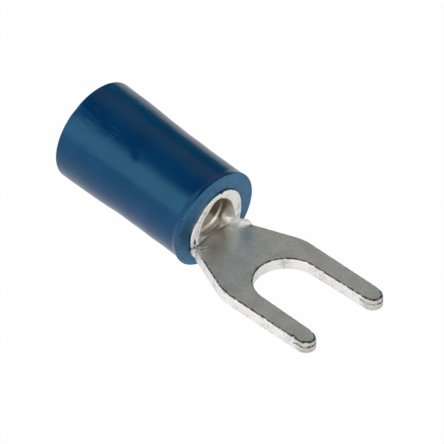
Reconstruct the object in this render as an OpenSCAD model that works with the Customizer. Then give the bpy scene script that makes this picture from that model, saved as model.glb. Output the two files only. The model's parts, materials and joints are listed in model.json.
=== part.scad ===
// Insulated fork terminal for an M4 stud and blue-size cable.
// A tinned copper blank is stamped flat, its rear panel is rolled into a crimp barrel with a butt seam on
// top, and a soft plastic sleeve is pushed over the barrel and runs on behind it to hold the cable's jacket.
// Millimetres. +X points from the cable entry to the fork tips, +Z up, and the sleeve lies on z = 0.

/* [Sleeve] */
// Length of the sleeve
sleeve_l = 10.35; // [9:0.05:14]
// Wall of the sleeve, over the barrel and round the cable entry
sleeve_wall = 1.1; // [0.6:0.05:1.6]
// Bore of the cable entry
entry_d = 4.5; // [4.3:0.1:5.4]
// Lead-in chamfer at the mouth of the cable entry
entry_lead_in = 0.3; // [0.1:0.05:0.6]
// Length of the cone between the cable entry and the barrel's seat
entry_cone_l = 0.8; // [0.4:0.1:1.5]
// Length of the seat that runs on behind the barrel
seat_behind = 0.3; // [0.1:0.1:1]
// Length at the rear end that keeps the full outside diameter
rear_land_l = 2; // [1:0.1:3]
// Length over which the outside narrows to the waist
taper_l = 3.3; // [1:0.1:4]
// Radial step of the slight flare at the front end
flare_rise = 0.08; // [0.02:0.01:0.2]
// Length of the flare at the front end
flare_l = 1.2; // [0.8:0.1:2]
// Rounding of the sleeve's outer end edges
end_edge_r = 0.25; // [0.1:0.05:0.4]

/* [Barrel] */
// Thickness of the tinned copper sheet
sheet_t = 0.8; // [0.6:0.05:1]
// Bore of the rolled barrel
barrel_bore_d = 2.6; // [2.3:0.1:3]
// Length of the barrel
barrel_l = 5.4; // [4:0.1:6]
// How far the barrel's front edge stands proud of the sleeve
barrel_proud = 0.16; // [0.1:0.02:0.6]
// Gap of the butt seam
seam_gap = 0.06; // [0.04:0.01:0.3]
// Turn of the seam away from the top, towards +Y
seam_turn = 8; // [-30:1:30]
// Countersink at the rear of the barrel that guides the strands in
strand_lead_in = 0.3; // [0.1:0.05:0.4]
// Grooves across the bore that grip the strands
groove_n = 3; // [1:1:3]
// Width of a groove
groove_w = 0.3; // [0.2:0.05:0.5]
// Depth of a groove
groove_depth = 0.12; // [0.05:0.01:0.2]
// Distance from one groove to the next
groove_pitch = 1.4; // [0.8:0.1:1.4]
// Distance from the barrel's front edge to the first groove
groove_start = 0.8; // [0.7:0.1:1.2]
// Radial clearance between the barrel and its seat in the sleeve, and ahead of the sleeve's face
seat_clearance = 0.02; // [0.01:0.01:0.05]

/* [Throat] */
// Width of the arched mouth in the barrel's front edge
mouth_w = 2.9; // [2.6:0.1:3.2]
// Length over which the arched mouth turns into the round bore
mouth_l = 0.7; // [0.4:0.1:1]
// Squareness of the mouth's lower corners, where 2 is an ellipse
mouth_power = 4; // [2:0.5:8]
// Outer bend radius where the legs of the arch turn into the floor
leg_bend_r = 0.9; // [0.5:0.1:1.2]
// Width of the neck where it leaves the barrel
neck_w = 3.72; // [3.2:0.02:4.1]
// Rounding of the inside corner between the neck and the barrel's legs
neck_corner_r = 0.1; // [0.05:0.05:0.3]

/* [Fork] */
// Width of the slot at its round root, for an M4 stud
slot_w = 4.3; // [3.7:0.1:4.6]
// Width between the prongs at their tips
slot_tip_w = 4.52; // [4.3:0.02:5]
// Width over the prongs
fork_w = 7.1; // [6.6:0.1:9]
// Centre of the slot's root to the prong tips, along the tongue
slot_to_tip = 5; // [3.5:0.1:7]
// Front end of the sleeve to the centre of the slot's root
slot_to_sleeve = 6.38; // [5:0.02:9]
// Shoulder corner to the centre of the slot's root, along the tongue
shoulder_to_slot = 2.1; // [1.8:0.1:2.8]
// Rounding of the shoulder corner
shoulder_r = 3; // [1:0.1:3.2]
// Upward pitch of the tongue from the barrel's axis
tongue_pitch = 4.3; // [0:0.1:10]
// Height of the tongue's top above the barrel's floor, at the barrel's front edge
tongue_rise = 0.18; // [0.1:0.01:0.4]

/* [Hidden] */
// Margin by which a cut runs past the solid that it cuts
cut_past = 0.5;
// Overlap of shapes that make up one piece
join = 0.02;
// Steps round the mouth and along it
mouth_turns = 48;
mouth_steps = 8;

// Barrel: radii of its bore and its outside, and of its seat in the sleeve
bore_r = barrel_bore_d / 2;
barrel_r = bore_r + sheet_t;
seat_r = barrel_r + seat_clearance;

// Sleeve: radii of the cable entry, the rear land, the waist and the front end
entry_r = entry_d / 2;
rear_r = entry_r + sleeve_wall;
waist_r = seat_r + sleeve_wall;
front_r = waist_r + flare_rise;

// Sleeve: lengths of the cable entry and of all that lies behind the seat, from the rear end
seat_start = sleeve_l + barrel_proud - barrel_l - seat_behind;
entry_l = seat_start - entry_cone_l;

// Places along X, with the origin at the middle of the overall length
tip_reach = slot_to_tip * cos(tongue_pitch) + sheet_t * sin(tongue_pitch);
overall_l = sleeve_l + slot_to_sleeve + tip_reach;
rear_x = -overall_l / 2;
sleeve_front_x = rear_x + sleeve_l;
barrel_front_x = sleeve_front_x + barrel_proud;
slot_x = sleeve_front_x + slot_to_sleeve;

// Heights: the sleeve rests on its rear land, and the tongue's top lies below the barrel's axis
axis_z = rear_r;
tongue_drop = bore_r - tongue_rise;

// Lengths along the pitched tongue, from the barrel's front edge
slot_along = (slot_x - barrel_front_x) / cos(tongue_pitch);
tip_along = slot_along + slot_to_tip;
shoulder_along = slot_along - shoulder_to_slot;

// Prongs: half widths, and the full-round tips
fork_half = fork_w / 2;
slot_tip_half = slot_tip_w / 2;
prong_tip_r = (fork_half - slot_tip_half) / 2;
tip_centre_along = tip_along - prong_tip_r;

// Neck: its half width at the barrel, its taper out to the shoulder, and the shoulder's rounding
neck_half = neck_w / 2;
taper_angle = atan((fork_half - neck_half) / shoulder_along);
round_reach = shoulder_r * tan(taper_angle / 2);

// The tongue laps halfway into the barrel's proud front edge, and its corner fillets stay on that edge
tongue_lap = (barrel_proud - seat_clearance) / 2;
corner_reach = min(neck_corner_r * tan(45 + taper_angle / 2), barrel_r - neck_half - join);
corner_r = corner_reach / tan(45 + taper_angle / 2);

// Smooth step from 0 to 1 with level ends
function ease(u) = u <= 0 ? 0 : u >= 1 ? 1 : u * u * (3 - 2 * u);

// Radius of the front mouth at an angle from the top: a half circle above, and a superellipse below whose
// sides stand up straight and whose floor lies just under the tongue's top
function arch_r(angle) =
    let (across = abs(sin(angle)) * 2 / mouth_w, down = abs(cos(angle)) / (tongue_drop + join))
    cos(angle) >= 0 ? mouth_w / 2 : (across ^ mouth_power + down ^ mouth_power) ^ (-1 / mouth_power);

// The mouth's radius at a depth behind the front edge, easing from the arch to just inside the bore
function mouth_r(angle, depth) =
    let (part = ease(depth / mouth_l))
    (1 - part) * arch_r(angle) + part * (bore_r - join);

// The sleeve: one revolved wall with a waist, a slight front flare, a cable entry and the barrel's seat
module insulating_sleeve() {
    color("#1d4f86")
        translate([rear_x, 0, axis_z])
            rotate([90, 0, 90])
                rotate_extrude()
                    difference() {
                        sleeve_outline();
                        polygon([
                            [-cut_past, -cut_past],
                            [entry_r + entry_lead_in, -cut_past],
                            [entry_r + entry_lead_in, 0],
                            [entry_r, entry_lead_in],
                            [entry_r, entry_l],
                            [seat_r, seat_start],
                            [seat_r, sleeve_l + cut_past],
                            [-cut_past, sleeve_l + cut_past],
                        ]);
                    }
}

// Half section of the sleeve's outside, radius across and length up, with rounded end edges
module sleeve_outline() {
    flare_end = sleeve_l - end_edge_r;
    polygon([
        [0, 0],
        [rear_r - end_edge_r, 0],
        [rear_r, end_edge_r],
        [rear_r, rear_land_l],
        [waist_r, rear_land_l + taper_l],
        [waist_r, sleeve_l - flare_l],
        [front_r, flare_end],
        [front_r - end_edge_r, sleeve_l],
        [0, sleeve_l],
    ]);
    translate([rear_r - end_edge_r, end_edge_r])
        circle(end_edge_r);
    translate([front_r - end_edge_r, flare_end])
        circle(end_edge_r);
}

// The terminal: barrel, throat and forked tongue are one piece of sheet
module fork_terminal() {
    color("#b9bab6") {
        translate([barrel_front_x, 0, axis_z])
            rotate([0, -90, 0])
                barrel();
        translate([barrel_front_x, 0, axis_z - tongue_drop])
            rotate([0, -tongue_pitch, 0])
                translate([0, 0, -sheet_t])
                    linear_extrude(sheet_t)
                        tongue_outline();
    }
}

// Rolled barrel along its own axis, from its front edge at 0, with its top along +X
module barrel() {
    difference() {
        union() {
            cylinder(h = barrel_l, r = barrel_r, $fn = 96);
            linear_extrude(barrel_proud - seat_clearance)
                legs_outline();
        }
        translate([0, 0, mouth_l])
            cylinder(h = barrel_l, r = bore_r, $fn = 96);
        translate([0, 0, barrel_l - strand_lead_in])
            cylinder(h = strand_lead_in, r1 = bore_r, r2 = bore_r + strand_lead_in, $fn = 96);
        for (i = [0 : groove_n - 1])
            translate([0, 0, groove_start + i * groove_pitch])
                cylinder(h = groove_w, r = bore_r + groove_depth, $fn = 96);
        mouth();
        rotate([0, 0, seam_turn])
            translate([0, -seam_gap / 2, -cut_past])
                cube([barrel_r + cut_past, seam_gap, barrel_l + 2 * cut_past]);
    }
}

// Outline of the barrel's proud front edge: legs go straight down from the arch and bend into the floor
module legs_outline() {
    depth = tongue_drop + sheet_t;
    circle(barrel_r, $fn = 96);
    translate([-depth + leg_bend_r, -barrel_r])
        square([depth - leg_bend_r, 2 * barrel_r]);
    translate([-depth, -barrel_r + leg_bend_r])
        square([depth, 2 * (barrel_r - leg_bend_r)]);
    for (side = [-1, 1])
        translate([-depth + leg_bend_r, side * (barrel_r - leg_bend_r)])
            circle(leg_bend_r, $fn = 48);
}

// Space inside the mouth: rings of the arch, carried back from in front of the edge until they meet the bore
module mouth() {
    depths = [-cut_past, for (i = [0 : mouth_steps]) mouth_l * i / mouth_steps, mouth_l + cut_past];
    last = len(depths) - 1;
    points = [
        for (depth = depths, j = [0 : mouth_turns - 1])
            let (angle = 360 * j / mouth_turns, r = mouth_r(angle, depth))
            [r * cos(angle), r * sin(angle), depth]
    ];
    sides = [
        for (i = [0 : last - 1], j = [0 : mouth_turns - 1])
            let (k = (j + 1) % mouth_turns, here = i * mouth_turns, next = here + mouth_turns)
            each [[here + j, next + k, here + k], [here + j, next + j, next + k]]
    ];
    caps = [
        for (j = [1 : mouth_turns - 2])
            let (end = last * mouth_turns)
            each [[0, j, j + 1], [end, end + j + 1, end + j]]
    ];
    polyhedron(points, concat(sides, caps));
}

// Flat outline of the neck and the forked tongue, from just inside the mouth to the tips
module tongue_outline() {
    corner_x = shoulder_along - round_reach * cos(taper_angle);
    corner_y = fork_half - round_reach * sin(taper_angle);
    round_x = shoulder_along + round_reach;
    difference() {
        union() {
            polygon([
                [-tongue_lap, -neck_half],
                [0, -neck_half],
                [corner_x, -corner_y],
                [round_x, -fork_half],
                [tip_centre_along, -fork_half],
                [tip_centre_along, fork_half],
                [round_x, fork_half],
                [corner_x, corner_y],
                [0, neck_half],
                [-tongue_lap, neck_half],
            ]);
            for (side = [-1, 1])
                translate([round_x, side * (fork_half - shoulder_r)])
                    circle(shoulder_r, $fn = 96);
            neck_corners();
        }
        translate([slot_along, 0])
            circle(slot_w / 2, $fn = 96);
        polygon([
            [slot_along, -slot_w / 2],
            [tip_centre_along, -slot_tip_half],
            [tip_along, -slot_tip_half],
            [tip_along, slot_tip_half],
            [tip_centre_along, slot_tip_half],
            [slot_along, slot_w / 2],
        ]);
    }
    for (side = [-1, 1])
        translate([tip_centre_along, side * (fork_half - prong_tip_r)])
            circle(prong_tip_r, $fn = 48);
}

// Small fillets in the inside corners between the neck's edges and the barrel's front edge
module neck_corners() {
    for (side = [0, 1])
        mirror([0, side])
            translate([0, neck_half])
                difference() {
                    polygon([
                        [-tongue_lap, -corner_r],
                        [corner_reach * cos(taper_angle), corner_reach * sin(taper_angle)],
                        [0, corner_reach],
                        [-tongue_lap, corner_reach],
                    ]);
                    translate([corner_r, corner_reach])
                        circle(corner_r, $fn = 48);
                }
}

insulating_sleeve();
fork_terminal();
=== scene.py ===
# Fork terminal: stamped from tinned copper sheet, rolled behind into a crimp barrel, in a soft blue sleeve.
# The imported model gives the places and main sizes. Lengths are millimetres until a mesh is made.
import json

import bmesh
import bpy
import numpy as np
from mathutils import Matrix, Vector


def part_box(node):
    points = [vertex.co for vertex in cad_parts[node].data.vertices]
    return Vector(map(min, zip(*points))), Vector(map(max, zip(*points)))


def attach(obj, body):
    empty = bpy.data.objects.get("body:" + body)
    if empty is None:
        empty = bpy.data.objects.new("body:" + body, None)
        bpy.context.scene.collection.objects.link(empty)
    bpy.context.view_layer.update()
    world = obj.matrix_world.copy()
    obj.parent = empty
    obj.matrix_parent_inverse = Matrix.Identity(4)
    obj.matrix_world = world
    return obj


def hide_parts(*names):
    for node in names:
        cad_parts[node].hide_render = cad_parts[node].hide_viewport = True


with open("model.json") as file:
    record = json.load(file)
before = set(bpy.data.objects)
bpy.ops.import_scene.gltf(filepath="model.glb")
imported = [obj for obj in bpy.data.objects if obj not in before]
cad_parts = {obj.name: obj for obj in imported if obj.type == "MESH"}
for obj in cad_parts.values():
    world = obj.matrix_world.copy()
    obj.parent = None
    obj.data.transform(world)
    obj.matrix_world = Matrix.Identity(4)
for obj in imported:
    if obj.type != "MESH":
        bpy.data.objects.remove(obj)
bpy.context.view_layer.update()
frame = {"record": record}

# The view: a long lens from above the left prong, so far away that parallel edges stay parallel.
# It is set so that the middle of the slot's round root, on the top face, lands on its pixel in the photo.
METRE = 1000
VIEW_TURN, VIEW_RISE, VIEW_ROLL = np.radians([-49.828, 43.082, 6.514])
PHOTO_PIXELS = 444
PIXELS_PER_MM = 16.448
SLOT_PIXEL = np.array([288.266, 281.543])
CAMERA_DISTANCE = 200

mounts = {mount["name"]: mount for mount in frame["record"]["mounts"]}
slot_mount = mounts["stud_slot"]
sheet = slot_mount["dims"]["length_mm"]
tongue_up = np.array(slot_mount["axis"])
slot_top = METRE * np.array(slot_mount["pos_m"]) + tongue_up * sheet / 2

facing = np.array([np.cos(VIEW_TURN), np.sin(VIEW_TURN), 0])
level_right = np.array([-np.sin(VIEW_TURN), np.cos(VIEW_TURN), 0])
to_camera = facing * np.cos(VIEW_RISE) + np.array([0, 0, np.sin(VIEW_RISE)])
level_up = np.cross(to_camera, level_right)
view_right = level_right * np.cos(VIEW_ROLL) + level_up * np.sin(VIEW_ROLL)
view_up = level_up * np.cos(VIEW_ROLL) - level_right * np.sin(VIEW_ROLL)
off_right, off_down = (PHOTO_PIXELS / 2 - SLOT_PIXEL) / PIXELS_PER_MM
looked_at = slot_top + view_right * off_right - view_up * off_down

lens = bpy.data.cameras.new("long_lens")
lens.type = "ORTHO"
lens.ortho_scale = PHOTO_PIXELS / PIXELS_PER_MM / METRE
lens.clip_start = 0.001
lens.clip_end = 10
camera = bpy.data.objects.new("camera", lens)
bpy.context.collection.objects.link(camera)
camera_place = np.eye(4)
camera_place[:3, :3] = np.column_stack([view_right, view_up, to_camera])
camera_place[:3, 3] = (looked_at + to_camera * CAMERA_DISTANCE) / METRE
camera.matrix_world = camera_place.T.tolist()
bpy.context.scene.camera = camera

# The terminal's tongue: copper sheet, stamped to its outline by a worn punch and tin plated after forming.
# Its neck widens to a fork with an open slot. The punch rolled the top corners over and tore the tips' edges.
# Along, or u, is the length from the barrel's front edge towards the tips; across, or y, is to the right.
NECK_HALF = 1.86
SHOULDER_BEHIND_SLOT = 2.1
SHOULDER_R = 3
SLOT_TIP_HALF = 2.26
BARREL_PROUD = 0.16
TONGUE_BELOW_AXIS = 1.12

# The sheared edge: a rolled top corner, a wall that waves a little, and a broken bottom corner
EDGE_ROLL = 0.12
FAR_ROLL = 0.05
FAR_ROLL_STARTS = (0.9, 1.5)
TIP_ROLL = 0.19
TIP_ROLL_BEFORE, TIP_ROLL_AFTER = 0.5, 0.4
EDGE_ROLL_WAVE, EDGE_ROLL_WAVE_L = 0.35, 0.8
EDGE_BREAK = 0.03
EDGE_MARGIN = 0.05
EDGE_CALM = 0.3
WALL_WAVE, WALL_WAVE_L, WALL_WAVE_SLANT = 0.008, 0.4, 2
WALL_EASE = 0.2
# The torn ledge near the tips: its depth and reach, its place on the wall, the hollow under it and its wave
LEDGE, LEDGE_REACH = 0.08, 1.3
LEDGE_AT, LEDGE_W = 0.3, 0.06
LEDGE_HOLLOW, LEDGE_HOLLOW_FULL = 0.4, 0.6
LEDGE_WAVE, LEDGE_WAVE_L = 0.5, 0.6
# Dints in the left edge: how far along the neck, how long and how deep
EDGE_DINTS = [(4.22, 0.10, 0.10), (10.1, 0.16, 0.12)]

# The rear end runs into the mouth, where it narrows and thins. Its corners, the ears, stand by the legs.
PLATE_LAP = 0.6
LAP_HALF = 1.6
LAP_THICK = 0.25
LAP_NARROWS = (-0.04, -0.2)
MOUTH_L = 0.75
EAR_HALF = 2.1
EAR_L = 0.24
EAR_ROUND, EAR_ROUND_L = 0.62, 0.4
# The feet of the barrel's legs, where the sheet bends up: the edge's roll on each side, and the left fillet
FOOT_ROLL = {-1: 0.3, 1: 0.16}
FOOT_ROLL_ENDS = (0.2, 0.9)
FOOT_FILLET = 0.12
FOOT_INNER = 1.47
FOOT_STARTS = (-0.6, -0.35)
# The right foot bends up along a slanting fold: two points of it as along and across
FOLD_FROM, FOLD_TO = np.array([-0.5, 1.05]), np.array([0.65, 1.46])
FOLD_R = 0.45
FOLD_TILT = np.radians(48)
FOLD_TOP = 0.6
FOLD_ENDS = (0.7, 1.2)
# Wrinkles from bending the feet: start and end as along and across, then height
WRINKLES = [
    ((0.33, 1.12), (0.45, 1.92), 0.040),
    ((0.46, 1.39), (0.58, 2.05), 0.034),
    ((0.32, -1.66), (0.54, -1.12), 0.040),
    ((0.58, -1.92), (0.70, -1.35), 0.026),
    ((0.79, -2.12), (0.88, -1.52), 0.034),
]
WRINKLE_W = 0.055
WRINKLE_STARTS, WRINKLE_ENDS = (-0.1, 0.3), (1.1, 0.7)

# Rows of points: along the formed and the plain neck, an arc, a prong, across both faces, and down the edge
FORMED_NECK_L = 1.2
FORMED_ROWS, PLAIN_ROWS = 74, 16
ARC_ROWS, PRONG_ROWS = 25, 50
TOP_ROWS, BOTTOM_ROWS = 44, 10
CORNER_ROWS = 7
WALL_ROWS = np.array([0.06, 0.12, 0.18, 0.23, 0.27, 0.30, 0.33, 0.38, 0.46, 0.58, 0.7, 0.82, 0.93])
WELD = 0.0004
# Smooth noise: how many sines, their gain, their rates in waves for each size, and the seeds of the edges
RIPPLE_SINES, RIPPLE_GAIN, RIPPLE_RATES = 6, 1.7, (0.6, 1.7)
OUTER_SEED, SLOT_SEED = 20, 40

terminal_low, terminal_high = (METRE * np.array(corner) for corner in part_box("fork_terminal"))
sleeve_low, sleeve_high = (METRE * np.array(corner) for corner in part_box("insulating_sleeve"))
axis_z = METRE * mounts["barrel_bore"]["pos_m"][2]
bore_r = mounts["barrel_bore"]["dims"]["r_mm"]
barrel_r = bore_r + sheet
barrel_front_x = sleeve_high[0] + BARREL_PROUD
barrel_l = barrel_front_x - terminal_low[0]

tongue_along = np.array([tongue_up[2], 0, -tongue_up[0]])
slot_u = (slot_top[0] - barrel_front_x) / tongue_along[0]
tongue_start = slot_top - slot_u * tongue_along
slot_r = slot_mount["dims"]["r_mm"]
fork_half = terminal_high[1]
tip_u = slot_u + (terminal_high[0] - slot_top[0] - sheet * tongue_along[2]) / tongue_along[0]
tip_r = (fork_half - SLOT_TIP_HALF) / 2
tip_centre_u = tip_u - tip_r
shoulder_u = slot_u - SHOULDER_BEHIND_SLOT


def smooth(start, end, x):
    """Smooth step: 0 at start and before it, 1 at end and past it, level at both. It may run downwards."""
    t = np.clip((x - start) / (end - start), 0, 1)
    return t * t * (3 - 2 * t)


def ripple(place, size, seed):
    """Smooth noise over a length, about -1 to 1: a gain times the mean of sines of waves round size long."""
    draw = np.random.default_rng(seed)
    rate = draw.uniform(*RIPPLE_RATES, RIPPLE_SINES) * 2 * np.pi / size
    start = draw.uniform(0, 2 * np.pi, RIPPLE_SINES)
    return RIPPLE_GAIN * np.sin(np.asarray(place)[..., None] * rate + start).mean(axis=-1)


def edge_half(u):
    """Half width of the neck and fork: the taper from neck to shoulder meets the prong's edge in an arc.

    An ear widens it at the barrel, and the end inside the mouth narrows to its lap.
    """
    slope = (fork_half - NECK_HALF) / shoulder_u
    reach = SHOULDER_R * np.tan(np.arctan(slope) / 2)
    line = np.minimum(NECK_HALF + slope * u, fork_half)
    off_middle = u - shoulder_u - reach
    arc = fork_half - SHOULDER_R + np.sqrt(np.maximum(SHOULDER_R**2 - off_middle**2, 0))
    on_arc = (u > shoulder_u - reach * np.cos(np.arctan(slope))) & (u < shoulder_u + reach)
    ear = (EAR_HALF - NECK_HALF) * (1 - smooth(0, EAR_L, u))
    half = np.where(on_arc, np.minimum(arc, line), line) + ear
    return half + (LAP_HALF - half) * smooth(*LAP_NARROWS, u)


def rim(points, outward, roll, break_r, seed):
    """The sheet's sheared edge along a path, in rows of points from the top face to the bottom face.

    Each point goes inwards by an inset and down by a drop: a quarter circle where the punch rolled the top
    corner over, a wall with a ledge near the tips where shearing turned into tearing, and a small bottom
    corner. The ledge is a bell over the wall's height with a hollow below it.
    """
    path = np.concatenate([[0], np.cumsum(np.linalg.norm(np.diff(points, axis=0), axis=1))])[:, None]
    calm = smooth(0, EDGE_CALM, path) * smooth(0, EDGE_CALM, path[-1] - path)
    roll_wave = 1 + EDGE_ROLL_WAVE * calm * ripple(path, EDGE_ROLL_WAVE_L, seed)
    roll = np.broadcast_to(roll, len(points))[:, None] * roll_wave
    break_r = np.broadcast_to(break_r, len(points))[:, None]
    turn_down = np.linspace(0, np.pi / 2, CORNER_ROWS)
    torn = LEDGE * smooth(tip_centre_u - LEDGE_REACH, tip_centre_u, points[:, :1])
    bell = np.exp(-(((WALL_ROWS - LEDGE_AT) / LEDGE_W) ** 2))
    hollow = LEDGE_HOLLOW * smooth(LEDGE_AT, LEDGE_HOLLOW_FULL, WALL_ROWS) * (1 - WALL_ROWS)
    ledge = torn * (bell - hollow) * (1 + LEDGE_WAVE * calm * ripple(path, LEDGE_WAVE_L, seed + 1))
    wave = WALL_WAVE * calm * ripple(path + WALL_WAVE_SLANT * WALL_ROWS, WALL_WAVE_L, seed + 2)
    on_wall = smooth(0, WALL_EASE, WALL_ROWS) * smooth(1, 1 - WALL_EASE, WALL_ROWS)
    zero = 0 * path
    inset = np.hstack([
        roll + EDGE_MARGIN,
        roll * (1 - np.sin(turn_down)),
        (ledge + wave) * on_wall,
        break_r * (1 - np.cos(turn_down)),
        break_r + EDGE_MARGIN,
    ])
    drop = np.hstack([
        zero,
        roll * (1 - np.cos(turn_down)),
        roll + (sheet - roll - break_r) * WALL_ROWS,
        sheet - break_r * (1 - np.sin(turn_down)),
        zero + sheet,
    ])
    place = points[:, None, :] - outward[:, None, :] * inset[:, :, None]
    return np.dstack([place, -drop])


def past_fold(u, y):
    """Distance to the right of the right foot's fold, square to its line."""
    fold = (FOLD_TO - FOLD_FROM) / np.linalg.norm(FOLD_TO - FOLD_FROM)
    return (y - FOLD_FROM[1]) * fold[0] - (u - FOLD_FROM[0]) * fold[1]


def forming(u, y):
    """Height of the neck's forming marks: the bends up to the feet of the arch, and wrinkles beside them.

    The left bend is a quarter circle over the distance to its leg. The right one is an arc over the distance
    past a slanting fold, then a slope that levels out. A wrinkle is a ridge on a line, bell-shaped across it.
    """
    away = np.hypot(np.maximum(u, 0), np.maximum(FOOT_INNER + y, 0))
    near = np.clip(FOOT_FILLET - away, 0, FOOT_FILLET)
    left = FOOT_FILLET - np.sqrt(FOOT_FILLET**2 - near**2)
    past = past_fold(u, y) * (1 - smooth(*FOLD_ENDS, u))
    bend = np.clip(past, 0, FOLD_R * np.sin(FOLD_TILT))
    slope = np.maximum(past - bend, 0) * np.tan(FOLD_TILT)
    right = FOLD_R - np.sqrt(FOLD_R**2 - bend**2) + slope
    rise = np.where(y > 0, FOLD_TOP * np.tanh(right / FOLD_TOP), left) * smooth(*FOOT_STARTS, u)
    for start, end, height in WRINKLES:
        along = np.subtract(end, start)
        length = np.hypot(*along)
        share = ((u - start[0]) * along[0] + (y - start[1]) * along[1]) / length**2
        off = ((u - start[0]) * along[1] - (y - start[1]) * along[0]) / length
        fade = smooth(*WRINKLE_STARTS, share) * smooth(*WRINKLE_ENDS, share)
        rise = rise + height * fade * np.exp(-((off / WRINKLE_W) ** 2))
    return rise


def quads(corner):
    """The quads of a grid of corner numbers, as rows of four."""
    square = [corner[:-1, :-1], corner[1:, :-1], corner[1:, 1:], corner[:-1, 1:]]
    return np.stack(square, axis=-1).reshape(-1, 4)


def tongue_half(side):
    """One side of the neck and fork as a closed strip: top and bottom faces between the sheared edges.

    Stations run along the tongue. At each, a straight line goes from the middle or the slot's edge to the
    outer edge. Returns points as along, across and above, the faces, and the open rear edge.
    """
    quarter = np.linspace(0, np.pi / 2, ARC_ROWS)[1:]
    slot_start = slot_u - slot_r
    formed_u = np.linspace(-PLATE_LAP, FORMED_NECK_L, FORMED_ROWS)[:-1]
    neck_u = np.concatenate([formed_u, np.linspace(FORMED_NECK_L, slot_start, PLAIN_ROWS)])
    prong_u = np.linspace(slot_u, tip_centre_u, PRONG_ROWS)[1:]
    root = len(neck_u) - 1

    u = np.concatenate([neck_u, slot_u - slot_r * np.cos(quarter), prong_u])
    slope = np.gradient(edge_half(u), u)
    outer = np.column_stack([u, edge_half(u)])
    outer_out = np.column_stack([-slope, np.ones_like(u)]) / np.hypot(1, slope)[:, None]
    widening = (SLOT_TIP_HALF - slot_r) / (tip_centre_u - slot_u)
    prong_y = slot_r + widening * (prong_u - slot_u)
    arc_y = slot_r * np.sin(quarter)
    inner = np.column_stack([u, np.concatenate([0 * neck_u, arc_y, prong_y])])
    inner_out = np.vstack([
        np.column_stack([np.ones_like(neck_u), 0 * neck_u]),
        np.column_stack([np.cos(quarter), -np.sin(quarter)]),
        np.column_stack([0 * prong_u, -np.ones_like(prong_u)]),
    ])
    tip_out = np.column_stack([np.sin(quarter), np.cos(quarter)])
    tip_centre = np.array([tip_centre_u, fork_half - tip_r])
    outer = np.vstack([outer, tip_centre + tip_r * tip_out])
    outer_out = np.vstack([outer_out, tip_out])
    inner = np.vstack([inner, tip_centre + tip_r * tip_out * [1, -1]])
    inner_out = np.vstack([inner_out, tip_out * [1, -1]])

    outer_u = outer[:, 0]
    inner_u = inner[root:, 0]
    ear_round = EDGE_BREAK + (EAR_ROUND - EDGE_BREAK) * (1 - smooth(0, EAR_ROUND_L, outer_u))
    roll = EDGE_ROLL + (FOOT_ROLL[side] - EDGE_ROLL) * (1 - smooth(*FOOT_ROLL_ENDS, outer_u))
    for dint_u, length, depth in EDGE_DINTS:
        roll = roll + (side < 0) * depth * np.exp(-(((outer_u - dint_u) / length) ** 2))
    roll = roll - (EDGE_ROLL - FAR_ROLL) * smooth(*FAR_ROLL_STARTS, outer_u) * (side > 0)
    slot_roll = EDGE_ROLL - (EDGE_ROLL - FAR_ROLL) * smooth(slot_start, slot_u, inner_u) * (side < 0)
    tip_starts, tip_full = tip_centre_u - TIP_ROLL_BEFORE, tip_centre_u + TIP_ROLL_AFTER
    roll = roll + (TIP_ROLL - roll) * smooth(tip_starts, tip_full, outer_u)
    slot_roll = slot_roll + (TIP_ROLL - slot_roll) * smooth(tip_starts, tip_full, inner_u)

    outer_rim = rim(outer, outer_out, roll, ear_round, OUTER_SEED + side)
    slot_rim = rim(inner[root:], inner_out[root:], slot_roll, EDGE_BREAK, SLOT_SEED)
    middle_top = np.column_stack([inner[:root], np.zeros(root)])
    middle_bottom = np.column_stack([inner[:root], np.full(root, -sheet)])
    top_inner = np.vstack([middle_top, slot_rim[:, 0]])[:, None]
    bottom_inner = np.vstack([middle_bottom, slot_rim[:, -1]])[:, None]
    across_top = np.linspace(0, 1, TOP_ROWS)[None, :, None]
    across_bottom = np.linspace(0, 1, BOTTOM_ROWS)[None, :, None]
    top = top_inner + (outer_rim[:, :1] - top_inner) * across_top
    bottom = outer_rim[:, -1:] + (bottom_inner - outer_rim[:, -1:]) * across_bottom

    patches = [top, outer_rim, bottom, slot_rim[:, ::-1]]
    points = np.vstack([patch.reshape(-1, 3) for patch in patches])
    ends = np.cumsum([patch.shape[0] * patch.shape[1] for patch in patches])
    numbers = np.split(np.arange(len(points)), ends[:-1])
    corners = [number.reshape(patch.shape[:2]) for number, patch in zip(numbers, patches)]
    faces = np.vstack([quads(corner) for corner in corners])
    rear_edge = np.concatenate([corner[0] for corner in corners[:3]])

    points[:, 1] *= side
    points[:, 2] *= 1 - (1 - LAP_THICK) * smooth(*LAP_NARROWS, points[:, 0])
    height_share = 1 + points[:, 2] / sheet
    dip = (bore_r - TONGUE_BELOW_AXIS) * smooth(0, -MOUTH_L, points[:, 0])
    points[:, 2] += height_share * (forming(points[:, 0], points[:, 1]) - dip)
    return points, faces[:, ::side], rear_edge


def new_mesh(name, points, faces):
    """A mesh in metres from points in millimetres. Points that meet are joined, and faces turned outwards."""
    mesh = bpy.data.meshes.new(name)
    mesh.from_pydata((points / METRE).tolist(), [], faces)
    work = bmesh.new()
    work.from_mesh(mesh)
    bmesh.ops.remove_doubles(work, verts=work.verts, dist=WELD / METRE)
    bmesh.ops.recalc_face_normals(work, faces=work.faces)
    work.to_mesh(mesh)
    work.free()
    return mesh


def new_object(name, mesh):
    """An object at the origin that shows a mesh."""
    piece = bpy.data.objects.new(name, mesh)
    bpy.context.collection.objects.link(piece)
    return piece


right_points, right_faces, right_rear = tongue_half(1)
left_points, left_faces, left_rear = tongue_half(-1)
left_first = len(right_points)
plate_faces = right_faces.tolist() + (left_faces + left_first).tolist()
plate_faces.append(right_rear.tolist() + (left_rear[::-1] + left_first).tolist())
plate_along, plate_across, plate_above = np.vstack([right_points, left_points]).T[:, :, None]
plate_points = tongue_start + plate_along * tongue_along + plate_across * np.array([0, 1, 0])
plate_points = plate_points + plate_above * tongue_up
plate = new_object("plate", new_mesh("plate", plate_points, plate_faces))

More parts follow.
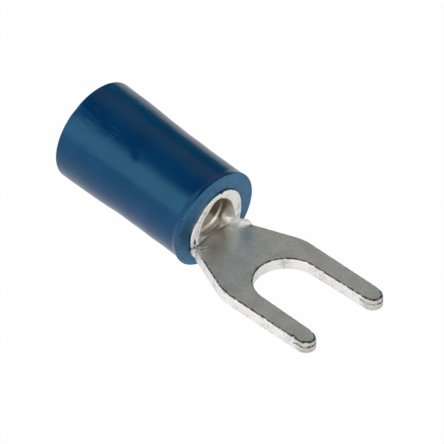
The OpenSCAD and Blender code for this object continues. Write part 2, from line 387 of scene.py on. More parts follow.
# The terminal's barrel: the same sheet, rolled up behind the neck until its ends meet in a butt seam.
# Its front edge stands as an arch on the neck, and grip grooves were rolled across the inside before forming.
# A turn goes round the barrel from straight down to the right, and a depth goes back from its front edge.
SEAM_TURN = np.radians(8)
SEAM_GAP = 0.014
SEAM_ROUND, SEAM_ROUND_L = 0.13, 0.15
FLOOR_DROP, FLOOR_DROP_L = 0.06, 0.3
FRONT_ROUND = 0.07
REAR_BREAK_IN, REAR_BREAK_OUT = 0.03, 0.1
LEAD_IN = 0.3
# The arch's inner and outer edge: turn in degrees, then the half width or radius there
MOUTH_EDGE = [
    (-174, 1.76), (-163, 1.60), (-150, 1.38), (-127, 1.315), (-97, 1.32), (-83, 1.37), (-70, 1.5),
    (-50, 1.47), (50, 1.80), (71, 1.72), (100, 1.44), (133, 1.44), (167, 1.60),
]
ARCH_EDGE = [
    (-157, 2.03), (-120, 1.84), (-100, 2.08), (-81, 2.17), (-60, 2.12),
    (60, 2.22), (75, 2.26), (90, 2.16), (110, 2.13), (160, 2.15),
]
EDGE_EASE, EDGE_EASE_STEPS = np.radians(9), 9
MOUTH_POWER, LEG_POWER = 8, 3.5
# Behind the arch: a short step out where it is wider than the barrel, and a longer ease where it is narrower
ARCH_STEP_FROM, ARCH_STEP_TO = 0.06, 0.01
ARCH_BACK = 0.5
# A slit that opened in the left foot when the sheet was bent: its turn and share of the wall
SLIT_TURN, SLIT_SHARE, SLIT_DEPTH = np.radians(-60.5), 0.45, 0.24
SLIT_TURN_W, SLIT_SHARE_W = np.radians(11), 0.16
# Grip grooves: a slope, then a steep rear wall, as shares of the width. They are shallower on the right.
GROOVE_N, GROOVE_START, GROOVE_PITCH = 3, 0.42, 1.5
GROOVE_W, GROOVE_DEPTH = 0.56, 0.17
GROOVE_SLOPE, GROOVE_WALL = (0, 0.6), (1, 0.72)
GROOVE_FADE, GROOVE_FADE_TURN = 0.6, (0.2, 1.4)
# Rows of points: round the barrel, over a rounded edge, across the front edge, and along both sides
TURN_ROWS, ROUND_ROWS, FACE_ROWS = 220, 6, 26
THROAT_L, BORE_ROWS, THROAT_ROWS = 1.4, 60, 56
STEP_ROWS, EASE_FROM, EASE_TO, EASE_ROWS = 6, 0.24, 0.7, 6
ROUND_FROM, BACK_ROWS = 1, 8
SHARP_TURN = np.radians(50)


def curve_through(turn, points):
    """Smooth curve over a turn: straight runs between listed points, averaged over a short turn."""
    knots, values = np.transpose(points)
    near = np.asarray(turn)[..., None] + np.linspace(-EDGE_EASE, EDGE_EASE, EDGE_EASE_STEPS)
    return np.interp(near, np.radians(knots), values, period=2 * np.pi).mean(axis=-1)


def arch(turn, edge, deep, power):
    """Radius of an arch: the edge's own radius above the axis, and a superellipse below it.

    The superellipse has the edge's half width there and goes down to a depth below the axis.
    """
    half = curve_through(turn, edge)
    down = np.clip(np.cos(turn), 0, 1)
    leg = ((np.abs(np.sin(turn)) / half) ** power + (down / deep) ** power) ** (-1 / power)
    return np.where(np.cos(turn) > 0, leg, half)


def barrel_inner(turn, depth):
    """Radius of the barrel's inside: the arch eases into the round bore, with grooves and a rear lead-in."""
    part = smooth(0, MOUTH_L, depth)
    floor_drop = FLOOR_DROP * smooth(FLOOR_DROP_L, 0, depth)
    mouth = arch(turn, MOUTH_EDGE, TONGUE_BELOW_AXIS + floor_drop, MOUTH_POWER)
    along = (depth - GROOVE_START) / GROOVE_PITCH
    in_groove = np.where((along > 0) & (along < GROOVE_N), along % 1 * GROOVE_PITCH / GROOVE_W, 0)
    shallow = 1 - GROOVE_FADE * smooth(*GROOVE_FADE_TURN, turn)
    groove = GROOVE_DEPTH * shallow * smooth(*GROOVE_SLOPE, in_groove) * smooth(*GROOVE_WALL, in_groove)
    lead_in = np.clip(depth - barrel_l + LEAD_IN, 0, LEAD_IN)
    return (1 - part) * mouth + part * bore_r + groove + lead_in


def barrel_outer(turn, depth):
    """Radius of the barrel's outside: the arch in front of the sleeve, then the round barrel in it."""
    front = arch(turn, ARCH_EDGE, TONGUE_BELOW_AXIS + sheet, LEG_POWER)
    wide = smooth(BARREL_PROUD - ARCH_STEP_FROM, BARREL_PROUD - ARCH_STEP_TO, depth)
    narrow = smooth(BARREL_PROUD, BARREL_PROUD + ARCH_BACK, depth)
    return front + (barrel_r - front) * np.where(front > barrel_r, wide, narrow)


def rolled_barrel():
    """The barrel's mesh: one profile, carried round from one end of the sheet to the other.

    The profile runs from the rear of the bore round the front edge and back. Each point has a depth, a share
    of the wall from inside to outside, and an inset from both. The two ends of the sheet meet at the seam.
    """
    gap_turn = SEAM_GAP / (bore_r + barrel_r)
    seam = np.array([-np.pi, np.pi]) - SEAM_TURN
    turns = np.linspace(seam[0] + gap_turn, seam[1] - gap_turn, TURN_ROWS)
    quarter = np.linspace(0, np.pi / 2, ROUND_ROWS)
    inner_depth = np.concatenate([
        np.linspace(barrel_l - REAR_BREAK_IN, THROAT_L, BORE_ROWS),
        np.linspace(THROAT_L, FRONT_ROUND, THROAT_ROWS)[1:-1],
    ])
    outer_depth = np.concatenate([
        np.linspace(FRONT_ROUND, BARREL_PROUD, STEP_ROWS)[1:],
        np.linspace(EASE_FROM, EASE_TO, EASE_ROWS),
        np.linspace(ROUND_FROM, barrel_l - REAR_BREAK_OUT, BACK_ROWS),
    ])
    face = np.linspace(0, 1, FACE_ROWS)[1:-1]
    rear = np.array([1, 0])
    depth = np.concatenate([
        inner_depth,
        FRONT_ROUND * (1 - np.sin(quarter)),
        0 * face,
        FRONT_ROUND * (1 - np.cos(quarter)),
        outer_depth,
        0 * rear + barrel_l,
    ])
    share = np.concatenate([
        0 * inner_depth,
        0 * quarter,
        face,
        0 * quarter + 1,
        0 * outer_depth + 1,
        rear,
    ])
    inset = np.concatenate([
        0 * inner_depth,
        FRONT_ROUND * (1 - np.cos(quarter)),
        0 * face + FRONT_ROUND,
        FRONT_ROUND * (1 - np.sin(quarter)),
        0 * outer_depth,
        [REAR_BREAK_OUT, REAR_BREAK_IN],
    ])
    turn_grid, depth_grid = np.meshgrid(turns, depth, indexing="ij")
    off_slit = ((turn_grid - SLIT_TURN) / SLIT_TURN_W) ** 2 + ((share - SLIT_SHARE) / SLIT_SHARE_W) ** 2
    depth_grid = depth_grid + SLIT_DEPTH * np.exp(-off_slit) * (inset == FRONT_ROUND)
    to_seam = np.minimum(turn_grid - seam[0], seam[1] - turn_grid) * barrel_r
    seam_round = SEAM_ROUND * (1 - smooth(0, SEAM_ROUND_L, to_seam))
    inside = barrel_inner(turn_grid, depth_grid) + inset + seam_round
    outside = barrel_outer(turn_grid, depth_grid) - inset - seam_round
    radius = inside + (outside - inside) * share
    points = np.dstack([
        barrel_front_x - depth_grid,
        radius * np.sin(turn_grid),
        axis_z - radius * np.cos(turn_grid),
    ])
    corner = np.arange(turn_grid.size).reshape(turn_grid.shape)
    faces = quads(np.pad(corner, ((0, 0), (0, 1)), mode="wrap")).tolist()
    seam_ends = [corner[0].tolist(), corner[-1, ::-1].tolist()]
    return new_mesh("barrel", points.reshape(-1, 3), faces + seam_ends)


barrel = new_object("barrel", rolled_barrel())
join = plate.modifiers.new("join", "BOOLEAN")
join.operation = "UNION"
join.solver = "MANIFOLD"
join.object = barrel
bpy.context.view_layer.update()
joined = bpy.data.meshes.new_from_object(plate.evaluated_get(bpy.context.evaluated_depsgraph_get()))
for part in (plate, barrel):
    bpy.data.objects.remove(part)
terminal = new_object("terminal_sheet", joined)
joined.shade_smooth()
joined.set_sharp_from_angle(angle=SHARP_TURN)

# The terminal's finish: dull tin plating, bright where it was sheared or scuffed and with painted highlights
# on the first groove's left wall and the right foot's fold, with dark worn corners.
# It is made dull in the mouth and has a painted reflection, a warm dull patch, on the neck in front of it;
# the bore's right wall is brown with painted shade. Each mark is one number for each point.
# A pair of numbers is where a mark starts and where it is full.
FEET_L = 1
ARCH_FACING, ARCH_TURNS = 0.2, (-0.4, 0.6)
RAMP_ACROSS, RAMP_BELOW_AXIS, RAMP_DEPTH, RAMP_FACING = 0.9, 0.5, 0.4, 0.3
BORE_DEPTH, BORE_FACING = (-0.05, 0.45), (0.1, 0.3)
# The first groove's wall on the left, which the light reaches, painted bright as a painted highlight
LIT_FACING, LIT_ACROSS = (0.3, 0.6), (-0.2, -0.9)
LIT_FROM, LIT_TO = 0.3, 1.1
MOUTH_FLOOR_FACING, MOUTH_FLOOR_BELOW_AXIS, MOUTH_FLOOR_L = (0.6, 0.85), 0.8, 0.8
MOUTH_FLOOR_CLEAN = 0.5
# Painted reflection on the neck in front of the mouth, a warm dull patch for the mouth's dark inside mirrored
# there: how strong, its middle, its reach along and across, and its fade
NECK_REFLECTION, NECK_REFLECTION_ACROSS = 0.6, -0.5
NECK_REFLECTION_L, NECK_REFLECTION_HALF = 1.1, 1.3
NECK_REFLECTION_FADE, NECK_REFLECTION_DEPTH = (1, 0.1), (1.4, 0.6)
# Painted shade: the bore's right wall is painted brown and darker, standing for the shade inside the bore
BORE_SHADE_ACROSS, BORE_SHADE_ABOVE_AXIS = (0.4, 1.0), (-1.1, -0.8)
TIP_BROWNED, TIP_BROWNED_FACING = 0.6, (0.5, 0.8)
TIP_BROWNED_BEFORE, TIP_BROWNED_AFTER = 0.6, 0.3
# Scuffs and painted highlights: a painted highlight up the right foot's fold, scuffs on the feet's walls, and
# streaks as middle, lean and seed
FOLD_HIGHLIGHT, FOLD_HIGHLIGHT_ENDS = (-0.03, 0.18), (0.95, 0.6)
FOOT_WALL_TURNS = (0.2, 0.75)
STREAKS = [((0.5, -1.6), -0.38, 9), ((0.4, 1.35), -0.15, 12)]
STREAK, STREAK_R, STREAK_FACING = 0.95, 0.4, 0.2
STREAK_W, STREAK_EDGE = 0.16, (-0.1, 0.4)


def read_vertices(mesh, name):
    """A mesh's vertex places or normals as one array of rows."""
    values = np.empty(3 * len(mesh.vertices))
    mesh.vertices.foreach_get(name, values)
    return values.reshape(-1, 3)


def store(mesh, name, values):
    """Keeps one number for each vertex under a name, which a material can read."""
    mesh.attributes.new(name, "FLOAT", "POINT").data.foreach_set("value", values)


def mark_plating(mesh):
    """Stores the plating's marks, each a product of smooth steps over place and facing.

    edge_turn is 0 on the sheet's faces and 1 on a sheared wall. The bent feet count as faces.
    """
    places = METRE * read_vertices(mesh, "co")
    normals = read_vertices(mesh, "normal")
    y = places[:, 1]
    above_axis = places[:, 2] - axis_z
    depth = barrel_front_x - places[:, 0]
    u = (places - tongue_start) @ tongue_along
    facing_up = normals @ tongue_up
    off_axis = places * [0, 1, 1] - [0, 0, axis_z]
    inwards = -(normals * off_axis).sum(axis=1) / np.linalg.norm(off_axis, axis=1)
    on_wall = smooth(*BORE_FACING, inwards)
    on_feet = (depth < 0) & (depth > -FEET_L)

    on_ramp = (y > RAMP_ACROSS) & (above_axis < -RAMP_BELOW_AXIS) & (depth < RAMP_DEPTH)
    on_ramp = on_ramp & (facing_up > RAMP_FACING)
    on_arch = (np.abs(depth) < FRONT_ROUND) & (normals[:, 0] > ARCH_FACING) & ~on_ramp
    leaving = np.arccos(np.clip(np.abs(facing_up), 0, 1)) / (np.pi / 2)
    on_fork = np.where(depth < -FEET_L, leaving, 0)
    edge_turn = np.where(on_arch, smooth(*ARCH_TURNS, normals[:, 0]), on_fork)
    store(mesh, "edge_turn", edge_turn)

    # Painted highlight: the first groove's left wall, where the light reaches, gets the bright cut colour
    lit_wall = smooth(*LIT_FACING, normals[:, 0]) * smooth(*LIT_ACROSS, y)
    lit_wall = lit_wall * (depth > LIT_FROM) * (depth < LIT_TO)
    mouth_floor = smooth(*MOUTH_FLOOR_FACING, normals[:, 2]) * (above_axis < -MOUTH_FLOOR_BELOW_AXIS)
    mouth_floor = mouth_floor * (depth < MOUTH_FLOOR_L)
    in_bore = smooth(*BORE_DEPTH, depth) * on_wall * (1 - lit_wall) * ~on_ramp
    in_bore = in_bore * (1 - MOUTH_FLOOR_CLEAN * mouth_floor)
    # The bore's right wall: brown with painted shade
    to_right = smooth(*BORE_SHADE_ACROSS, y) * smooth(*BORE_SHADE_ABOVE_AXIS, above_axis)
    tip_starts, tip_full = tip_centre_u - TIP_BROWNED_BEFORE, tip_centre_u + TIP_BROWNED_AFTER
    tip_wall = TIP_BROWNED * smooth(tip_starts, tip_full, -depth) * smooth(*TIP_BROWNED_FACING, edge_turn)
    store(mesh, "browned", in_bore * to_right + tip_wall)

    # Painted reflection: a warm dull patch on the neck in front of the mouth, for the mouth's dark inside
    # mirrored there
    from_mouth = np.hypot(np.maximum(-depth, 0) / NECK_REFLECTION_L, (y - NECK_REFLECTION_ACROSS) / NECK_REFLECTION_HALF)
    on_neck = NECK_REFLECTION * smooth(*NECK_REFLECTION_FADE, from_mouth) * smooth(*NECK_REFLECTION_DEPTH, depth)
    store(mesh, "dulled", np.maximum(in_bore * (1 - to_right), on_neck * (above_axis < 0)))

    # Painted highlight up the right foot's fold, bright also where the mouth shades it
    up_fold = smooth(*FOLD_HIGHLIGHT, past_fold(u, y)) * smooth(*FOLD_HIGHLIGHT_ENDS, u)
    feet = np.where(on_ramp, up_fold, smooth(*FOOT_WALL_TURNS, leaving) * on_feet)
    scuffed = np.maximum(lit_wall * on_wall, feet)
    for (middle_u, middle_y), lean, seed in STREAKS:
        spot = np.exp(-(((u - middle_u) / STREAK_R) ** 2) - ((y - middle_y) / STREAK_R) ** 2)
        lines = smooth(*STREAK_EDGE, ripple(u + lean * y, STREAK_W, seed))
        scuffed = scuffed + STREAK * spot * lines * (facing_up > STREAK_FACING) * (depth < 0)
    store(mesh, "scuffed", np.clip(scuffed, 0, 1))


class Wire:
    """A node's output. Plus, minus and times between wires and numbers add Math nodes."""

    def __init__(self, tree, socket=None):
        self.tree = tree
        self.socket = socket

    def node(self, kind, settings, sockets, out=0):
        """Adds a node: its settings are set first, then its sockets get their values or links."""
        made = self.tree.nodes.new("ShaderNode" + kind)
        for name, value in settings.items():
            setattr(made, name, value)
        for key, value in sockets.items():
            if isinstance(value, Wire):
                self.tree.links.new(value.socket, made.inputs[key])
            else:
                made.inputs[key].default_value = value
        return Wire(self.tree, made.outputs[out] if made.outputs else None)

    def math(self, operation, *values):
        return self.node("Math", {"operation": operation}, dict(enumerate(values)))

    def __add__(self, other):
        return self.math("ADD", self, other)

    __radd__ = __add__

    def __sub__(self, other):
        return self.math("SUBTRACT", self, other)

    def __rsub__(self, other):
        return self.math("SUBTRACT", other, self)

    def __mul__(self, other):
        return self.math("MULTIPLY", self, other)

    __rmul__ = __mul__

    def step(self, start, end):
        """Smooth step of this value, 0 at start and 1 at end."""
        sockets = {"Value": self, "From Min": start, "From Max": end}
        return self.node("MapRange", {"interpolation_type": "SMOOTHSTEP"}, sockets)

    def mix(self, low, high):
        """A colour between low and high, by this value."""
        return self.node("Mix", {"data_type": "RGBA"}, {0: self, 6: low, 7: high}, out=2)

    def noise(self, scale, detail=2, stretch=(1, 1, 1)):
        """Noise over this place, in waves per metre, stretched by a factor along each axis."""
        place = self.node("VectorMath", {"operation": "MULTIPLY"}, {0: self, 1: stretch})
        return self.node("TexNoise", {}, {"Vector": place, "Scale": scale, "Detail": detail})

    def stored(self, name):
        """The number that the mesh keeps for each point under a name."""
        return self.node("Attribute", {"attribute_name": name}, {}, out="Fac")


def new_material(name):
    """An empty node material, and a wire to start its nodes from."""
    material = bpy.data.materials.new(name)
    material.use_nodes = True
    material.node_tree.nodes.clear()
    return material, Wire(material.node_tree)


TIN = (0.80, 0.80, 0.76, 1)
TIN_DULL = (0.60, 0.615, 0.59, 1)
TIN_CUT_AND_HIGHLIGHT = (0.95, 0.93, 0.90, 1)
TIN_WORN = (0.06, 0.055, 0.045, 1)
TIN_DULL_AND_REFLECTION = (0.92, 0.87, 0.78, 1)
TIN_BROWN_SHADE = (0.42, 0.37, 0.30, 1)
BLOTCH_WAVES, GRAIN_WAVES, RAGGED_WAVES = 1100, 9000, 4200
# Steps over noise and over edge_turn, and how much each mark changes the metal
FACE_BLOTCH, FACE_TONES = 0.4, (0.36, 0.64)
CUT_BLOTCH, CUT_TONES = 0.5, (0.36, 0.52)
RAGGED, SHEARED = (0.3, 0.52), (0.5, 0.85)
WORN, WORN_STARTS, WORN_ENDS = 0.9, (0.05, 0.15), (0.5, 0.8)
CUT_UNMETAL, DULL_UNMETAL = 0.8, 0.6
TIN_ROUGH, BLOTCH_ROUGH, CUT_ROUGH = 0.36, 0.06, 0.14
GRAIN_HEIGHT, GRAIN_BUMP = 0.02, 0.25


def tin_finish():
    """Plating: blotches and grain in two greys, then cut edges with painted highlights, dull patches with a
    painted reflection, brown with painted shade, and worn corners.
    """
    material, start = new_material("tinned_copper_finish")
    place = start.node("TexCoord", {}, {}, out="Object")
    turned = start.stored("edge_turn")
    browned = start.stored("browned")
    dulled = start.stored("dulled")
    scuffed = start.stored("scuffed")
    blotch = place.noise(BLOTCH_WAVES, 3)
    grain = place.noise(GRAIN_WAVES, 3)
    ragged = place.noise(RAGGED_WAVES, 2).step(*RAGGED)
    # Sheared edges and scuffs, together with the painted highlights on the first groove's left wall and the
    # right foot's fold
    cut = start.math("MAXIMUM", scuffed, turned.step(*SHEARED))
    worn = turned.step(*WORN_STARTS) * (1 - turned.step(*WORN_ENDS)) * ragged
    face_tone = FACE_BLOTCH * blotch + (1 - FACE_BLOTCH) * grain
    face_colour = face_tone.step(*FACE_TONES).mix(TIN_DULL, TIN)
    cut_tone = CUT_BLOTCH * blotch + (1 - CUT_BLOTCH) * grain
    cut_colour = cut_tone.step(*CUT_TONES).mix(TIN_DULL, TIN_CUT_AND_HIGHLIGHT)
    # Dull on the bore's left wall, and a painted reflection on the neck in front of the mouth
    colour = dulled.mix(cut.mix(face_colour, cut_colour), TIN_DULL_AND_REFLECTION)
    # Brown with painted shade on the bore's right wall, and darker brown on the tips' walls
    colour = browned.mix(colour, TIN_BROWN_SHADE)
    colour = (WORN * worn).mix(colour, TIN_WORN)
    bump = start.node("Bump", {}, {
        "Strength": GRAIN_BUMP,
        "Distance": GRAIN_HEIGHT / METRE,
        "Height": grain,
    })
    metal = start.node("BsdfPrincipled", {}, {
        "Base Color": colour,
        "Metallic": (1 - CUT_UNMETAL * cut) * (1 - DULL_UNMETAL * dulled),
        "Roughness": TIN_ROUGH + BLOTCH_ROUGH * blotch + CUT_ROUGH * cut,
        "Normal": bump,
    })
    start.node("OutputMaterial", {}, {"Surface": metal})
    return material


mark_plating(joined)
joined.materials.clear()
joined.materials.append(tin_finish())
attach(terminal, "root")
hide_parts("fork_terminal")

# The sleeve: one soft PVC moulding, pushed over the barrel from behind and gripping it by its own spring.
# Its outside narrows to a waist over the barrel and has a lip at the front; the cable goes in behind.
# It was handled in a bin with others, so it is dented a little, rubbed at its lip and scratched lengthwise.
REAR_LAND_L = 2
TAPER_L, TAPER_EASE = 3.3, 0.6
WAIST_R = 3.22
LIP, LIP_ALL = 0.08, 0.04
LIP_L, LIP_FULL = 0.55, 0.05
LIP_TURN = np.radians(287)
REAR_ROUND = 0.08
FRONT_EDGE_ROUND = 0.08
SEAT_R, SEAT_START = 2.12, 4.81
SEAT_ROUND = 0.08
ENTRY_CONE_L = 0.8
ENTRY_LEAD_IN = 0.3
# A dent over the barrel's rear end, a nick in the rear rim, the slant of that rim, and the soft wall's wave
DENT_ALONG, DENT_L = 5.2, 0.3
DENT_TURN, DENT_W, DENT_DEPTH = np.radians(212), 0.4, 0.045
NICK_TURN, NICK_W = np.radians(213), 0.35
NICK_L, NICK_DEPTH = 0.25, 0.05
REAR_SKEW = 0.13
SAG, SAG_L, SAG_EASE, SAG_SEED = 0.012, 2.6, 1.5, 5
SAG_SWAY, SAG_SWAY_TURN, SAG_SWAY_3 = 1.3, 0.6, 0.5
# Where the cut front end has painted shade at its lower left, for the shadow under the tongue that it
# mirrors, and where the lip is rubbed
SHADE_TURN, SHADE_W = np.radians([5, 32])
RUBBED_INSIDE, RUBBED_BEHIND, RUBBED_ROUND = (0.4, 0.1), (-0.15, -0.04), (0.25, 0.85)
# Rows of points: round the sleeve, over a rounded edge, along outside, seat and bore, and across both ends
AROUND_ROWS, EDGE_ROWS = 240, 7
OUTSIDE_ROWS, SEAT_ROWS, INSIDE_ROWS = 130, 10, 36
FRONT_ROWS, REAR_ROWS = 12, 8

sleeve_rear_x, sleeve_front_x = sleeve_low[0], sleeve_high[0]
sleeve_l = sleeve_front_x - sleeve_rear_x
sleeve_r = sleeve_high[2] - axis_z
entry_r = mounts["wire_entry"]["dims"]["r_mm"]


def sleeve_outside(along, turn):
    """Radius of the outside at a length from the rear end: land, taper to the waist and front lip.

    The lip is widest at the lower left. A dent is a bell both ways, and the soft wall waves a little.
    """
    waist = smooth(REAR_LAND_L - TAPER_EASE, REAR_LAND_L + TAPER_L + TAPER_EASE, along)
    lip = LIP_ALL + LIP * (0.5 + 0.5 * np.cos(turn - LIP_TURN))
    lip = lip * smooth(sleeve_l - LIP_L, sleeve_l - LIP_FULL, along)
    dent = np.exp(-(((along - DENT_ALONG) / DENT_L) ** 2) - ((turn - DENT_TURN) * WAIST_R / DENT_W) ** 2)
    nick = np.exp(-((along / NICK_L) ** 2) - ((turn - NICK_TURN) * sleeve_r / NICK_W) ** 2)
    swayed = along + SAG_SWAY * np.sin(turn + SAG_SWAY_TURN) + SAG_SWAY_3 * np.sin(3 * turn)
    wave = ripple(swayed, SAG_L, SAG_SEED)
    sag = SAG * (wave - 1) * smooth(0, SAG_EASE, along) * smooth(sleeve_l, sleeve_l - SAG_EASE, along)
    return sleeve_r + (WAIST_R - sleeve_r) * waist + lip - DENT_DEPTH * dent - NICK_DEPTH * nick + sag


def sleeve_inside(along, turn):
    """Radius of the bore: cable entry with a lead-in, a cone, and the seat, which hugs the arch in front."""
    lead_in = ENTRY_LEAD_IN * (1 - np.clip(along / ENTRY_LEAD_IN, 0, 1))
    seat = np.clip((along - SEAT_START + ENTRY_CONE_L) / ENTRY_CONE_L, 0, 1)
    hug = np.maximum(barrel_r - barrel_outer(turn, BARREL_PROUD + sleeve_l - along), 0)
    return entry_r + lead_in + (SEAT_R - entry_r) * seat - hug * (along > sleeve_l - ARCH_BACK)


def moulded_sleeve():
    """The sleeve's mesh: one closed profile, carried once round the axis.

    The profile runs from the cable entry out over the rear end, along the outside and back through the bore.
    Each point has a length from the rear end, a share of the wall from inside to outside, an inset from the
    outside and an outset from the inside. The rear end slants by a cosine that fades over the land.
    """
    quarter = np.linspace(0, np.pi / 2, EDGE_ROWS)
    rear_face = np.linspace(0, 1, REAR_ROWS)[:-1]
    outside_along = np.linspace(REAR_ROUND, sleeve_l - FRONT_EDGE_ROUND, OUTSIDE_ROWS)[1:-1]
    front_face = np.linspace(1, 0, FRONT_ROWS)[1:-1]
    inside_along = np.concatenate([
        np.linspace(sleeve_l - SEAT_ROUND, sleeve_l - ARCH_BACK, SEAT_ROWS)[1:],
        np.linspace(sleeve_l - ARCH_BACK, 0, INSIDE_ROWS)[1:-1],
    ])
    along = np.concatenate([
        0 * rear_face,
        REAR_ROUND * (1 - np.cos(quarter)),
        outside_along,
        sleeve_l - FRONT_EDGE_ROUND * (1 - np.sin(quarter)),
        0 * front_face + sleeve_l,
        sleeve_l - SEAT_ROUND * (1 - np.cos(quarter)),
        inside_along,
    ])
    share = np.concatenate([
        rear_face,
        0 * quarter + 1,
        0 * outside_along + 1,
        0 * quarter + 1,
        front_face,
        0 * quarter,
        0 * inside_along,
    ])
    inset = np.concatenate([
        0 * rear_face + REAR_ROUND,
        REAR_ROUND * (1 - np.sin(quarter)),
        0 * outside_along,
        FRONT_EDGE_ROUND * (1 - np.cos(quarter)),
        0 * front_face + FRONT_EDGE_ROUND,
        0 * quarter,
        0 * inside_along,
    ])
    outset = np.concatenate([
        0 * rear_face,
        0 * quarter,
        0 * outside_along,
        0 * quarter,
        0 * front_face + SEAT_ROUND,
        SEAT_ROUND * (1 - np.sin(quarter)),
        0 * inside_along,
    ])
    around = np.linspace(0, 2 * np.pi, AROUND_ROWS + 1)[:-1]
    turn_grid, along_grid = np.meshgrid(around, along, indexing="ij")
    inside = sleeve_inside(along_grid, turn_grid) + outset
    outside = sleeve_outside(along_grid, turn_grid) - inset
    radius = inside + (outside - inside) * share
    skew = REAR_SKEW * np.cos(turn_grid) * (1 - smooth(0, REAR_LAND_L, along_grid))
    points = np.dstack([
        sleeve_rear_x + along_grid + skew,
        radius * np.sin(turn_grid),
        axis_z - radius * np.cos(turn_grid),
    ])
    corner = np.arange(turn_grid.size).reshape(turn_grid.shape)
    faces = quads(np.pad(corner, ((0, 1), (0, 1)), mode="wrap")).tolist()
    return new_mesh("sleeve", points.reshape(-1, 3), faces)


def mark_handling(mesh):
    """Stores painted shade on the front end's lower left, a bell over the turn, and where the lip is rubbed.
    """
    places = METRE * read_vertices(mesh, "co") - [0, 0, axis_z]
    # Painted shade on the cut front end, strongest at its lower left
    from_left = np.arctan2(places[:, 2], -places[:, 1]) - SHADE_TURN
    store(mesh, "pressed", np.exp(-((from_left / SHADE_W) ** 2)))

    turn = np.arctan2(places[:, 1], -places[:, 2])
    inside_lip = sleeve_outside(sleeve_l, turn) - np.hypot(places[:, 1], places[:, 2])
    rubbed = smooth(*RUBBED_INSIDE, inside_lip) * smooth(*RUBBED_BEHIND, places[:, 0] - sleeve_front_x)
    store(mesh, "rubbed", rubbed * smooth(*RUBBED_ROUND, np.cos(turn - LIP_TURN)))


PVC_BLUE = (0.0003, 0.033, 0.118, 1)
PVC_PALE = (0.0006, 0.041, 0.134, 1)
PVC_CUT = (0.034, 0.138, 0.285, 1)
PVC_CUT_DIM = (0.026, 0.104, 0.216, 1)
PVC_CUT_SHADED = (0.006, 0.050, 0.110, 1)
PVC_SCRATCH = (0.020, 0.110, 0.260, 1)
PVC_RUBBED = (0.085, 0.215, 0.35, 1)
PVC_SHEEN = (0.30, 0.90, 1.0, 1)
CLOUD_WAVES, PEEL_WAVES, CUT_WAVES, SPECK_WAVES = 420, 2600, 2400, 12000
SCRATCH_WAVES, SCRATCH_STRETCH = 9000, (0.12, 1, 1)
SCRATCHED_FROM, SCRATCHED_TO = -8.5, -6.0
CUT_END_FROM, CUT_END_TO = 0.05, 0.01
# Steps over noise, and how much each mark changes the plastic
PVC_TONES, SPECKS = (0.35, 0.65), (0.5, 0.68)
SCRATCH_LINES, SCRATCH_SHOWS = (0.5, 0.75), 0.16
PVC_ROUGH, CLOUD_ROUGH, SCRATCH_ROUGH, CUT_END_ROUGH = 0.18, 0.1, 0.1, 0.2
PVC_IOR, PVC_SPECULAR = 1.5, 0.5
PEEL_HEIGHT, PEEL_BUMP, PEEL_SHARE = 0.03, 0.2, 0.5


def pvc_finish():
    """Glossy blue with faint clouds, orange peel and scratches behind, and a duller, paler cut front end with
    painted shade at its lower left.
    """
    material, start = new_material("blue_pvc")
    place = start.node("TexCoord", {}, {}, out="Object")
    lengthwise = start.node("SeparateXYZ", {}, {0: place})
    cloud = place.noise(CLOUD_WAVES, 3)
    orange_peel = place.noise(PEEL_WAVES, 2)
    scratched = 1 - lengthwise.step(SCRATCHED_FROM / METRE, SCRATCHED_TO / METRE)
    lines = place.noise(SCRATCH_WAVES, 2, stretch=SCRATCH_STRETCH).step(*SCRATCH_LINES) * scratched
    skin = (SCRATCH_SHOWS * lines).mix(cloud.step(*PVC_TONES).mix(PVC_BLUE, PVC_PALE), PVC_SCRATCH)
    cut_end = lengthwise.step((sleeve_front_x - CUT_END_FROM) / METRE, (sleeve_front_x - CUT_END_TO) / METRE)
    cut_colour = place.noise(CUT_WAVES, 3).step(*PVC_TONES).mix(PVC_CUT_DIM, PVC_CUT)
    # Painted shade: the cut end is darker at its lower left, where it mirrors the shadow under the tongue
    cut_colour = start.stored("pressed").mix(cut_colour, PVC_CUT_SHADED)
    specks = place.noise(SPECK_WAVES, 2).step(*SPECKS) * start.stored("rubbed")
    bump = start.node("Bump", {}, {
        "Strength": PEEL_BUMP,
        "Distance": PEEL_HEIGHT / METRE,
        "Height": lines + PEEL_SHARE * orange_peel,
    })
    plastic = start.node("BsdfPrincipled", {}, {
        "Base Color": specks.mix(cut_end.mix(skin, cut_colour), PVC_RUBBED),
        "Roughness": PVC_ROUGH + CLOUD_ROUGH * cloud + SCRATCH_ROUGH * lines + CUT_END_ROUGH * cut_end,
        "IOR": PVC_IOR,
        "Specular IOR Level": PVC_SPECULAR,
        "Specular Tint": PVC_SHEEN,
        "Normal": bump,
    })
    start.node("OutputMaterial", {}, {"Surface": plastic})
    return material


sleeve_mesh = moulded_sleeve()
sleeve_mesh.shade_smooth()
sleeve_mesh.set_sharp_from_angle(angle=SHARP_TURN)
mark_handling(sleeve_mesh)
sleeve_mesh.materials.append(pvc_finish())
sleeve = new_object("soft_sleeve", sleeve_mesh)
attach(sleeve, "root")
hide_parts("insulating_sleeve")

# The table and light: a white floor and room round the part, a softbox on its left and a brighter front.
# The ceiling is dark over the part and paler to the right, so that upward faces mirror grey.
# The room is a dim blue at the back right, which the sleeve's upper side mirrors.
FLOOR_HALF = 1500
FLOOR_WHITE = (0.85, 0.85, 0.85, 1)
FLOOR_SEEN, FLOOR_MIRRORED = 0.985, 0.75


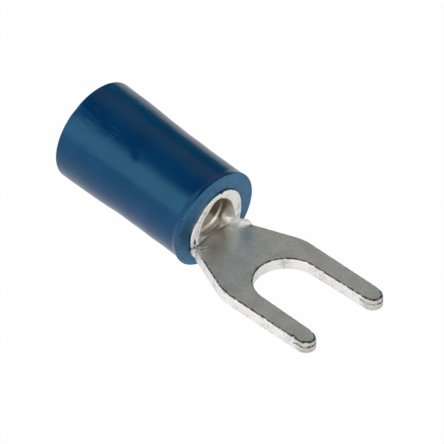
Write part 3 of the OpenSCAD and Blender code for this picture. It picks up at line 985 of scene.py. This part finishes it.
def white_table():
    """A white floor that takes the part's shadow: mostly plain white to the camera and in reflections."""
    material, start = new_material("white_table")
    seen = start.node("LightPath", {}, {}, out="Is Camera Ray") * FLOOR_SEEN
    mirrored = start.node("LightPath", {}, {}, out="Is Glossy Ray") * FLOOR_MIRRORED
    seen_through = start.node("LightPath", {}, {}, out="Is Transmission Ray") * FLOOR_MIRRORED
    lit = start.node("BsdfDiffuse", {}, {"Color": FLOOR_WHITE})
    white = start.node("Emission", {}, {"Color": (1, 1, 1, 1), "Strength": 1.0})
    blend = start.node("MixShader", {}, {0: seen + mirrored + seen_through, 1: lit, 2: white})
    start.node("OutputMaterial", {}, {"Surface": blend})
    return material


floor_mesh = bpy.data.meshes.new("table")
floor_corners = np.array([[-1, -1, 0], [1, -1, 0], [1, 1, 0], [-1, 1, 0]]) * FLOOR_HALF / METRE
floor_mesh.from_pydata(floor_corners.tolist(), [], [(0, 1, 2, 3)])
floor_mesh.materials.append(white_table())
floor = new_object("table", floor_mesh)

ROOM_WHITE = (0.9, 0.9, 0.9, 1)
ROOM_FRONT = (1.6, 1.6, 1.6, 1)
ROOM_BLUE = (0.03, 0.24, 0.38, 1)
CEILING_DARK = (0.04, 0.04, 0.04, 1)
CEILING_PALE = (0.45, 0.40, 0.345, 1)
CEILING_LEAN, CEILING_EDGE, CEILING_SOFT = 0.42, 0.57, 0.05
# Steps over the parts of a direction: where each starts and where it is full
FRONT_STEP, PALE_STEP = (0, 0.7), (-0.1, 0.5)
BLUE_RIGHT, BLUE_BACK, BLUE_OVERHEAD = (0.3, 0.7), (-0.3, 0.2), (0.6, 0.78)

room = bpy.data.worlds.new("studio")
room.use_nodes = True
room.node_tree.nodes.clear()
room_start = Wire(room.node_tree)
direction = room_start.node("TexCoord", {}, {}, out="Generated")
forward = room_start.node("SeparateXYZ", {}, {0: direction}, out="X")
sideways = room_start.node("SeparateXYZ", {}, {0: direction}, out="Y")
upwards = room_start.node("SeparateXYZ", {}, {0: direction}, out="Z")
walls = forward.step(*FRONT_STEP).mix(ROOM_WHITE, ROOM_FRONT)
walls = (sideways.step(*BLUE_RIGHT) * (1 - forward.step(*BLUE_BACK))).mix(walls, ROOM_BLUE)
overhead = sideways.step(*PALE_STEP).mix(CEILING_DARK, CEILING_PALE)
overhead = sideways.step(*BLUE_OVERHEAD).mix(overhead, ROOM_BLUE)
leaning = upwards + CEILING_LEAN * sideways
glow = leaning.step(CEILING_EDGE - CEILING_SOFT, CEILING_EDGE + CEILING_SOFT).mix(walls, overhead)
background = room_start.node("Background", {}, {"Color": glow, "Strength": 1.0})
room_start.node("OutputWorld", {}, {"Surface": background})
bpy.context.scene.world = room

# The softbox's power is pi times its area times its radiance
SOFTBOX_PLACE = Vector((-60, -200, 110))
SOFTBOX_W, SOFTBOX_H = 260, 156
SOFTBOX_RADIANCE = 1.1
softbox = bpy.data.lights.new("left_softbox", "AREA")
softbox.shape = "RECTANGLE"
softbox.size = SOFTBOX_W / METRE
softbox.size_y = SOFTBOX_H / METRE
softbox.energy = np.pi * softbox.size * softbox.size_y * SOFTBOX_RADIANCE
lamp = bpy.data.objects.new("left_softbox", softbox)
bpy.context.collection.objects.link(lamp)
lamp.location = SOFTBOX_PLACE / METRE
lamp.rotation_euler = SOFTBOX_PLACE.to_track_quat("Z", "Y").to_euler()

bpy.context.scene.view_settings.view_transform = "Standard"
